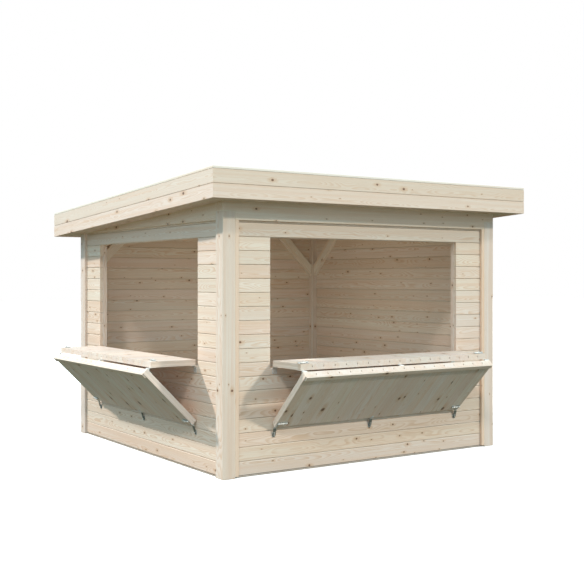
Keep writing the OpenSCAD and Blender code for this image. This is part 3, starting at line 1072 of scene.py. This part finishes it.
class Nodes:
    """Adds nodes to a shader tree. A value for an input is a number, a colour or another node's output."""

    def __init__(self, tree):
        self.tree = tree

    def feed(self, socket, value):
        if isinstance(value, bpy.types.NodeSocket):
            self.tree.links.new(value, socket)
        else:
            socket.default_value = value

    def add(self, kind, inputs=None, **settings):
        made = self.tree.nodes.new("ShaderNode" + kind)
        for name, value in settings.items():
            setattr(made, name, value)
        for name, value in (inputs or {}).items():
            self.feed(made.inputs[name], value)
        return made

    def math(self, operation, *values, clamp=False):
        made = self.add("Math", operation=operation, use_clamp=clamp)
        for socket, value in zip(made.inputs, values):
            self.feed(socket, value)
        return made.outputs[0]

    def plus(self, a, b):
        return self.math("ADD", a, b)

    def times(self, a, b):
        return self.math("MULTIPLY", a, b)

    def scaled(self, value, factor, extra, clamp=False):
        """The value times a factor, plus something extra."""
        return self.math("MULTIPLY_ADD", value, factor, extra, clamp=clamp)

    def vector(self, operation, *values):
        made = self.add("VectorMath", operation=operation)
        for socket, value in zip(made.inputs, values):
            self.feed(socket, value)
        return made.outputs["Value" if operation == "LENGTH" else "Vector"]

    def ramp(self, value, low, high, start=0.0, end=1.0, kind="SMOOTHSTEP"):
        """Maps a value from one range to another, clamped."""
        inputs = {"Value": value, "From Min": low, "From Max": high, "To Min": start, "To Max": end}
        return self.add("MapRange", inputs, interpolation_type=kind).outputs["Result"]

    def mix(self, factor, a, b, blend="MIX"):
        made = self.add("Mix", data_type="RGBA", blend_type=blend, clamp_factor=True)
        for n, value in ((0, factor), (6, a), (7, b)):
            self.feed(made.inputs[n], value)
        return made.outputs[2]

    def grey(self, value):
        return self.add("CombineXYZ", {"X": value, "Y": value, "Z": value}).outputs[0]

    def noise(self, vector, scale, detail=3.0, rough=0.55):
        """Noise over a coordinate that is first scaled along each axis."""
        scaled = self.vector("MULTIPLY", vector, scale)
        inputs = {"Vector": scaled, "Scale": 1.0, "Detail": detail, "Roughness": rough}
        return self.add("TexNoise", inputs).outputs["Fac"]


def new_group(name, inputs, outputs):
    """An empty shader node group with named sockets. Returns its tree and its two end nodes."""
    tree = bpy.data.node_groups.new(name, "ShaderNodeTree")
    for direction, sockets in (("INPUT", inputs), ("OUTPUT", outputs)):
        for socket, kind, *default in sockets:
            made = tree.interface.new_socket(socket, in_out=direction, socket_type="NodeSocket" + kind)
            if default:
                made.default_value = default[0]
    return tree, tree.nodes.new("NodeGroupInput").outputs, tree.nodes.new("NodeGroupOutput").inputs


# Noise in the wood: its scale along, across and into the board, its detail and its roughness
WOBBLE = (160.0, 220.0, 220.0), 3.0
STREAK = (0.9, 38.0, 38.0), 4.0, 0.6
FIBRE = (14.0, 700.0, 700.0), 2.0
CLOUD = (0.7, 3.5, 3.5), 2.0
BAND = (0.35, 16.0, 16.0), 2.0
BEND = (1.3, 5.0, 5.0)
BEND_REACH = (0.0, 0.05, 0.09)
# One knot may lie in each cell of a board's face; its heart and its halo are stretched along the grain
KNOT_CELL = (0.27, 0.085, 0.0)
KNOT_SHAPE = (0.20, 0.085, 0.0)
HALO_SHAPE = (0.11, 0.085, 0.0)
KNOT_SMALLEST = 0.003
KNOT_PIT = (0.05, 0.022, 0.012, 1.0)
# Colour of the paler chamfers: partly wear, partly a painted highlight
WORN_AND_LIT_EDGE = (0.86, 0.78, 0.66, 1.0)
DULL = 0.72  # brightness of dull zinc beside bright zinc
TINTS = (1.0, 0.99, 0.965, 1.0), (1.01, 0.955, 0.965, 1.0)


def pine_group():
    """Planed pine: rings about the pith, knots with their halo, tone of each board, and paler chamfers that are
    partly wear and partly a painted highlight.
    """
    name = "Pine Grain"
    if name in bpy.data.node_groups:
        return bpy.data.node_groups[name]
    inputs = (
        ("Grain", "Vector"), ("Tone", "Float", 0.5), ("Warmth", "Float", 0.0), ("End", "Float", 0.0),
        ("Edge", "Float", 0.0), ("Pale", "Color"), ("Warm", "Color"), ("Latewood", "Color"), ("Knot", "Color"),
        ("Ring Spacing", "Float", 0.0045), ("Ring Strength", "Float", 0.35), ("Board Contrast", "Float", 1.0),
        ("Knot Share", "Float", 0.45), ("Knot Radius", "Float", 0.009),
    )
    outputs = (("Color", "Color"), ("Roughness", "Float"), ("Height", "Float"))
    tree, given, result = new_group(name, inputs, outputs)
    make = Nodes(tree)
    grain, tone, contrast, end = given["Grain"], given["Tone"], given["Board Contrast"], given["End"]
    # Knots, each with its own radius, and none on the ends of boards
    cells = make.vector("DIVIDE", grain, KNOT_CELL)
    spots = make.add("TexVoronoi", {"Vector": cells, "Scale": 1.0, "Randomness": 1.0}, voronoi_dimensions="2D")
    away = make.vector("SUBTRACT", cells, spots.outputs["Position"])
    near = make.vector("LENGTH", make.vector("MULTIPLY", away, KNOT_SHAPE))
    far = make.vector("LENGTH", make.vector("MULTIPLY", away, HALO_SHAPE))
    chance = make.add("SeparateXYZ", {"Vector": spots.outputs["Color"]}).outputs
    here = make.times(make.math("LESS_THAN", chance["Y"], given["Knot Share"]), make.math("SUBTRACT", 1.0, end))
    radius = make.scaled(make.math("POWER", chance["X"], 2.2), given["Knot Radius"], KNOT_SMALLEST)
    rim = make.scaled(make.noise(grain, *WOBBLE), 0.8, -0.4)
    reach = make.plus(make.math("DIVIDE", near, radius), rim)
    spread = make.plus(make.math("DIVIDE", far, radius), rim)
    heart = make.times(make.ramp(reach, 1.2, 0.75), here)
    pit = make.times(make.ramp(reach, 0.75, 0.2), here)
    halo = make.times(make.ramp(spread, 3.0, 0.8), here)
    # Rings about the pith, bent by slow noise along the board and pushed out round the knots
    slow = {"Vector": make.vector("MULTIPLY", grain, BEND), "Scale": 1.0, "Detail": 2.0}
    bend = make.vector("SUBTRACT", make.add("TexNoise", slow).outputs["Color"], (0.5, 0.5, 0.5))
    bend = make.vector("ADD", grain, make.vector("MULTIPLY", bend, BEND_REACH))
    bend = make.vector("MULTIPLY", bend, (0.0, 1.0, 1.0))
    pith = make.scaled(halo, 0.006, make.vector("LENGTH", bend))
    turn = make.math("FRACT", make.math("DIVIDE", pith, given["Ring Spacing"]))
    ring = make.times(make.ramp(turn, 0.25, 0.88), make.ramp(turn, 1.0, 0.92))
    # Streaks, fibres and bands of heartwood
    streak = make.noise(grain, *STREAK)
    fibre = make.noise(grain, *FIBRE)
    cloud = make.noise(grain, *CLOUD)
    band = make.ramp(make.noise(grain, *BAND), 0.5, 0.66)
    # Each board has its own warmth, tint and depth, all drawn from its tone
    tint = make.math("FRACT", make.times(tone, 13.7))
    depth = make.math("FRACT", make.times(tone, 31.3))
    lean = make.scaled(tone, 0.7, make.scaled(cloud, 0.7, -0.42))
    lean = make.plus(make.times(lean, contrast), given["Warmth"])
    warmth = make.math("ADD", lean, make.scaled(streak, 1.1, -0.55), clamp=True)
    color = make.mix(warmth, given["Pale"], given["Warm"])
    color = make.mix(contrast, color, make.mix(tint, *TINTS), "MULTIPLY")
    color = make.mix(contrast, color, make.grey(make.ramp(depth, 0.0, 1.0, 0.93, 1.03, "LINEAR")), "MULTIPLY")
    color = make.mix(make.times(band, 0.6), color, given["Warm"])
    # Dark rings, knots, fibres, board ends and paler chamfers (partly wear, partly a painted highlight) are laid
    # over the ground one by one
    streaked = make.times(make.times(ring, given["Ring Strength"]), make.ramp(streak, 0.3, 0.65, 0.35, 1.0))
    color = make.mix(streaked, color, given["Latewood"])
    color = make.mix(make.times(halo, 0.5), color, given["Latewood"])
    color = make.mix(make.times(heart, 0.85), color, given["Knot"])
    color = make.mix(make.times(pit, 0.6), color, KNOT_PIT)
    color = make.mix(1.0, color, make.grey(make.ramp(fibre, 0.3, 0.7, 0.955, 1.03)), "MULTIPLY")
    color = make.mix(make.times(end, 0.07), color, given["Latewood"])
    # Chamfer faces are painted paler in cloudy patches: partly wear, partly a painted highlight along the edges
    wear_and_highlight = make.times(given["Edge"], make.ramp(cloud, 0.35, 0.6, 0.25, 0.75))
    make.feed(result["Color"], make.mix(wear_and_highlight, color, WORN_AND_LIT_EDGE))
    rough = make.scaled(ring, -0.08, make.scaled(fibre, 0.22, 0.48))
    rough = make.scaled(heart, -0.15, rough)
    make.feed(result["Roughness"], make.scaled(end, 0.15, rough, clamp=True))
    height = make.scaled(ring, 0.35, make.times(fibre, 0.5))
    make.feed(result["Height"], make.scaled(heart, 0.6, height))
    return tree


PINE = {
    # name: (tint of the ground colour, warmth, board contrast, ring strength, knot share, knot radius)
    "Wall Boards": ((1.0, 0.99, 0.975), 0.0, 1.1, 0.56, 0.36, 0.0065),
    "Frame Timber": ((0.98, 1.0, 1.035), -0.10, 0.9, 0.50, 0.62, 0.006),
    # Beams and braces are paler copies of the pine: painted light that brightens them where they lie in shade
    "Beams": ((1.07, 1.06, 1.04), -0.05, 0.9, 0.62, 0.62, 0.009),
    "Braces": ((1.12, 1.13, 1.10), -0.20, 0.4, 0.35, 0.15, 0.006),
    "Cover Battens": ((1.045, 0.935, 0.84), 0.14, 0.7, 0.36, 0.40, 0.005),
    "Fascia Boards": ((1.0, 0.98, 0.965), 0.0, 1.0, 0.40, 0.34, 0.012),
    "Edge Strip": ((1.04, 1.07, 1.08), -0.5, 0.3, 0.10, 0.1, 0.004),
    "Counter Boards": ((1.025, 1.04, 1.08), -0.06, 0.8, 0.34, 0.36, 0.018),
    "Roof Deck": ((0.62, 0.61, 0.60), -0.1, 1.0, 0.34, 0.40, 0.008),
    "Roof Boards": ((0.86, 0.86, 0.86), 0.05, 1.0, 0.34, 0.40, 0.008),
    "Bearers": ((0.55, 0.55, 0.55), -0.4, 0.6, 0.25, 0.3, 0.008),
}


def new_material(name):
    material = bpy.data.materials.new(name)
    material.use_nodes = True
    return material, Nodes(material.node_tree)


def pine(name):
    """Planed pine, read along each board's own grain."""
    if name in bpy.data.materials:
        return bpy.data.materials[name]
    finish = bpy.context.scene.stall_finish
    tint, *values = PINE[name]
    material, make = new_material(name)
    part = make.add("Attribute", attribute_name="board").outputs["Vector"]
    part = make.add("SeparateXYZ", {"Vector": part}).outputs
    inputs = {
        "Grain": make.add("Attribute", attribute_name="grain").outputs["Vector"],
        "Tone": part["X"], "End": part["Y"], "Edge": part["Z"],
    }
    inputs.update(zip(("Warmth", "Board Contrast", "Ring Strength", "Knot Share", "Knot Radius"), values))
    colors = {"Pale": finish.pale, "Warm": finish.warm, "Latewood": finish.late, "Knot": finish.knot}
    for socket, color in colors.items():
        inputs[socket] = tuple(c * t for c, t in zip(color, tint)) + (1.0,)
    wood = make.add("Group", inputs, node_tree=pine_group()).outputs
    bump = make.add("Bump", {"Height": wood["Height"], "Strength": 0.35, "Distance": 0.0006})
    shader = make.tree.nodes["Principled BSDF"].inputs
    make.feed(shader["Base Color"], wood["Color"])
    make.feed(shader["Roughness"], wood["Roughness"])
    make.feed(shader["Normal"], bump.outputs["Normal"])
    return material


def zinc(name):
    """Bright zinc plate with a faint spangle, dulled in patches, and the dark colour where a face is marked dark:
    painted shade on the straps, the bolt bar's painted shadow on the bolt plates.
    """
    if name in bpy.data.materials:
        return bpy.data.materials[name]
    finish = bpy.context.scene.stall_finish
    material, make = new_material(name)
    place = make.add("TexCoord").outputs["Object"]
    patch = make.noise(place, (60.0, 60.0, 60.0))
    dark = make.add("Attribute", attribute_name="dark").outputs["Fac"]
    bright = tuple(finish.zinc) + (1.0,)
    dull = tuple(DULL * c for c in finish.zinc) + (1.0,)
    color = make.mix(make.ramp(patch, 0.35, 0.7), bright, dull)
    spangle = make.noise(place, (900.0, 900.0, 900.0), 2.0)
    bump = make.add("Bump", {"Height": spangle, "Strength": 0.1, "Distance": 0.0002})
    shader = make.tree.nodes["Principled BSDF"].inputs
    shader["Metallic"].default_value = 0.55
    # Faces marked dark take the dark colour: painted shade on the straps and the bolt bar's painted shadow on the
    # bolt plates
    make.feed(shader["Base Color"], make.mix(dark, color, tuple(finish.steel_and_shade) + (1.0,)))
    make.feed(shader["Roughness"], make.scaled(dark, 0.12, make.ramp(patch, 0.3, 0.7, 0.30, 0.48)))
    make.feed(shader["Normal"], bump.outputs["Normal"])
    return material


# Stage

FLOOR_SIZE = 60
FLOOR_DROP = 0.0005
FLOOR_GLOW = 0.35
WHITE = (1.0, 1.0, 1.0, 1.0)
SKY_BLUE = (0.67, 0.89, 1.0, 1.0)
FLOOR_SEEN = (0.9, 0.9, 0.9, 1.0)
FLOOR_DIM = (0.105, 0.10, 0.06, 1.0)
ROOM_WARM = (0.96, 0.965, 0.85)
ROOM_SPREAD = 0.5
ROOM_HEIGHT = 0.6  # height of the room's light, as a share of the posts
# The far lights: how wide each one spreads, in degrees, and its colour
SUNS = {
    "front": (4, (1.0, 0.93, 0.80)),
    "side": (2, (1.0, 0.945, 0.885)),
    "corner": (6, (1.0, 0.95, 0.90)),
}


def camera_sees(make, seen, otherwise, surface):
    """Shows the camera one shader and gives every other ray another."""
    either = make.add("MixShader", {"Fac": make.add("LightPath").outputs["Is Camera Ray"]})
    make.feed(either.inputs[1], otherwise)
    make.feed(either.inputs[2], seen)
    make.feed(surface, either.outputs[0])


class STALL_OT_stage(bpy.types.Operator):
    """Floor, lights and camera"""

    bl_idname = "stall.stage"
    bl_label = "Stage"

    def execute(self, context):
        stage = context.scene.stall_stage
        context.scene.view_settings.view_transform = "Standard"
        self.floor()
        self.camera(context.scene, stage)
        self.lights(context.scene, stage)
        return {"FINISHED"}

    def floor(self):
        bm = bmesh.new()
        bmesh.ops.create_grid(bm, x_segments=1, y_segments=1, size=FLOOR_SIZE)
        floor = mesh_object("floor", bm, self.floor_finish())
        floor.location = (0, 0, -FLOOR_DROP)

    def floor_finish(self):
        """A floor that looks white but throws little light back up."""
        material, make = new_material("Pale Floor")
        make.tree.nodes.remove(make.tree.nodes["Principled BSDF"])
        seen = make.add("AddShader")
        make.feed(seen.inputs[0], make.add("BsdfDiffuse", {"Color": FLOOR_SEEN}).outputs[0])
        make.feed(seen.inputs[1], make.add("Emission", {"Color": WHITE, "Strength": FLOOR_GLOW}).outputs[0])
        dim = make.add("BsdfDiffuse", {"Color": FLOOR_DIM})
        surface = make.tree.nodes["Material Output"].inputs["Surface"]
        camera_sees(make, seen.outputs[0], dim.outputs[0], surface)
        return material

    def camera(self, scene, stage):
        data = bpy.data.cameras.new("camera")
        data.sensor_width = 36
        data.lens = stage.lens
        data.shift_y = stage.shift
        camera = bpy.data.objects.new("camera", data)
        camera.location = stage.camera_place
        camera.rotation_euler = (math.radians(90), 0, -stage.camera_turn)
        scene.collection.objects.link(camera)
        scene.camera = camera

    def lights(self, scene, stage):
        world = bpy.data.worlds.new("Sky")
        world.use_nodes = True
        make = Nodes(world.node_tree)
        fill = make.tree.nodes["Background"]
        make.feed(fill.inputs["Color"], SKY_BLUE)
        make.feed(fill.inputs["Strength"], stage.sky)
        white = make.add("Background", {"Color": WHITE, "Strength": 1.0})
        surface = make.tree.nodes["World Output"].inputs["Surface"]
        camera_sees(make, white.outputs[0], fill.outputs[0], surface)
        scene.world = world
        self.room_light(stage)
        for name, (spread, color) in SUNS.items():
            light = name + "_light"
            self.sun(light, getattr(stage, light), getattr(stage, name + "_from"), spread, color)

    def room_light(self, stage):
        """A broad soft light in the middle of the room."""
        low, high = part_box("back_posts")
        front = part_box("front_posts")[0].y
        data = bpy.data.lights.new("room_light", "POINT")
        data.energy = stage.room_light
        data.shadow_soft_size = ROOM_SPREAD
        data.color = ROOM_WARM
        light = bpy.data.objects.new("room_light", data)
        light.location = ((low.x + high.x) / 2, (front + high.y) / 2, high.z * ROOM_HEIGHT)
        light.visible_camera = False
        bpy.context.scene.collection.objects.link(light)

    def sun(self, name, strength, direction, spread, color):
        """A far light from a direction, whose shadows soften with its spread in degrees."""
        data = bpy.data.lights.new(name, "SUN")
        data.energy = strength
        data.angle = math.radians(spread)
        data.color = color
        light = bpy.data.objects.new(name, data)
        light.rotation_euler = (-Vector(direction)).to_track_quat("-Z", "Y").to_euler()
        bpy.context.scene.collection.objects.link(light)


# Panel and registration


ORDER = (
    STALL_OT_opening_walls, STALL_OT_plain_walls, STALL_OT_frame, STALL_OT_roof, STALL_OT_fascias,
    STALL_OT_panels, STALL_OT_fittings, STALL_OT_stage,
)


class STALL_PT_sidebar(bpy.types.Panel):
    """Lists the stall's pieces"""

    bl_label = "Wooden Market Stall"
    bl_idname = "STALL_PT_sidebar"
    bl_space_type = "VIEW_3D"
    bl_region_type = "UI"
    bl_category = "Stall"

    def draw(self, context):
        for operator in ORDER:
            self.layout.operator(operator.bl_idname)
        for group in (context.scene.stall_boards, context.scene.stall_finish, context.scene.stall_stage):
            box = self.layout.box()
            for name in group.__annotations__:
                box.prop(group, name)


GROUPS = {"stall_boards": StallBoards, "stall_finish": StallFinish, "stall_stage": StallStage}
CLASSES = (*GROUPS.values(), *ORDER, STALL_PT_sidebar)


def register():
    for cls in CLASSES:
        bpy.utils.register_class(cls)
    for name, group in GROUPS.items():
        setattr(bpy.types.Scene, name, bpy.props.PointerProperty(type=group))


def unregister():
    for name in GROUPS:
        delattr(bpy.types.Scene, name)
    for cls in reversed(CLASSES):
        bpy.utils.unregister_class(cls)


def main():
    register()
    for operator in ORDER:
        category, name = operator.bl_idname.split(".")
        getattr(getattr(bpy.ops, category), name)()


if __name__ == "__main__":
    main()
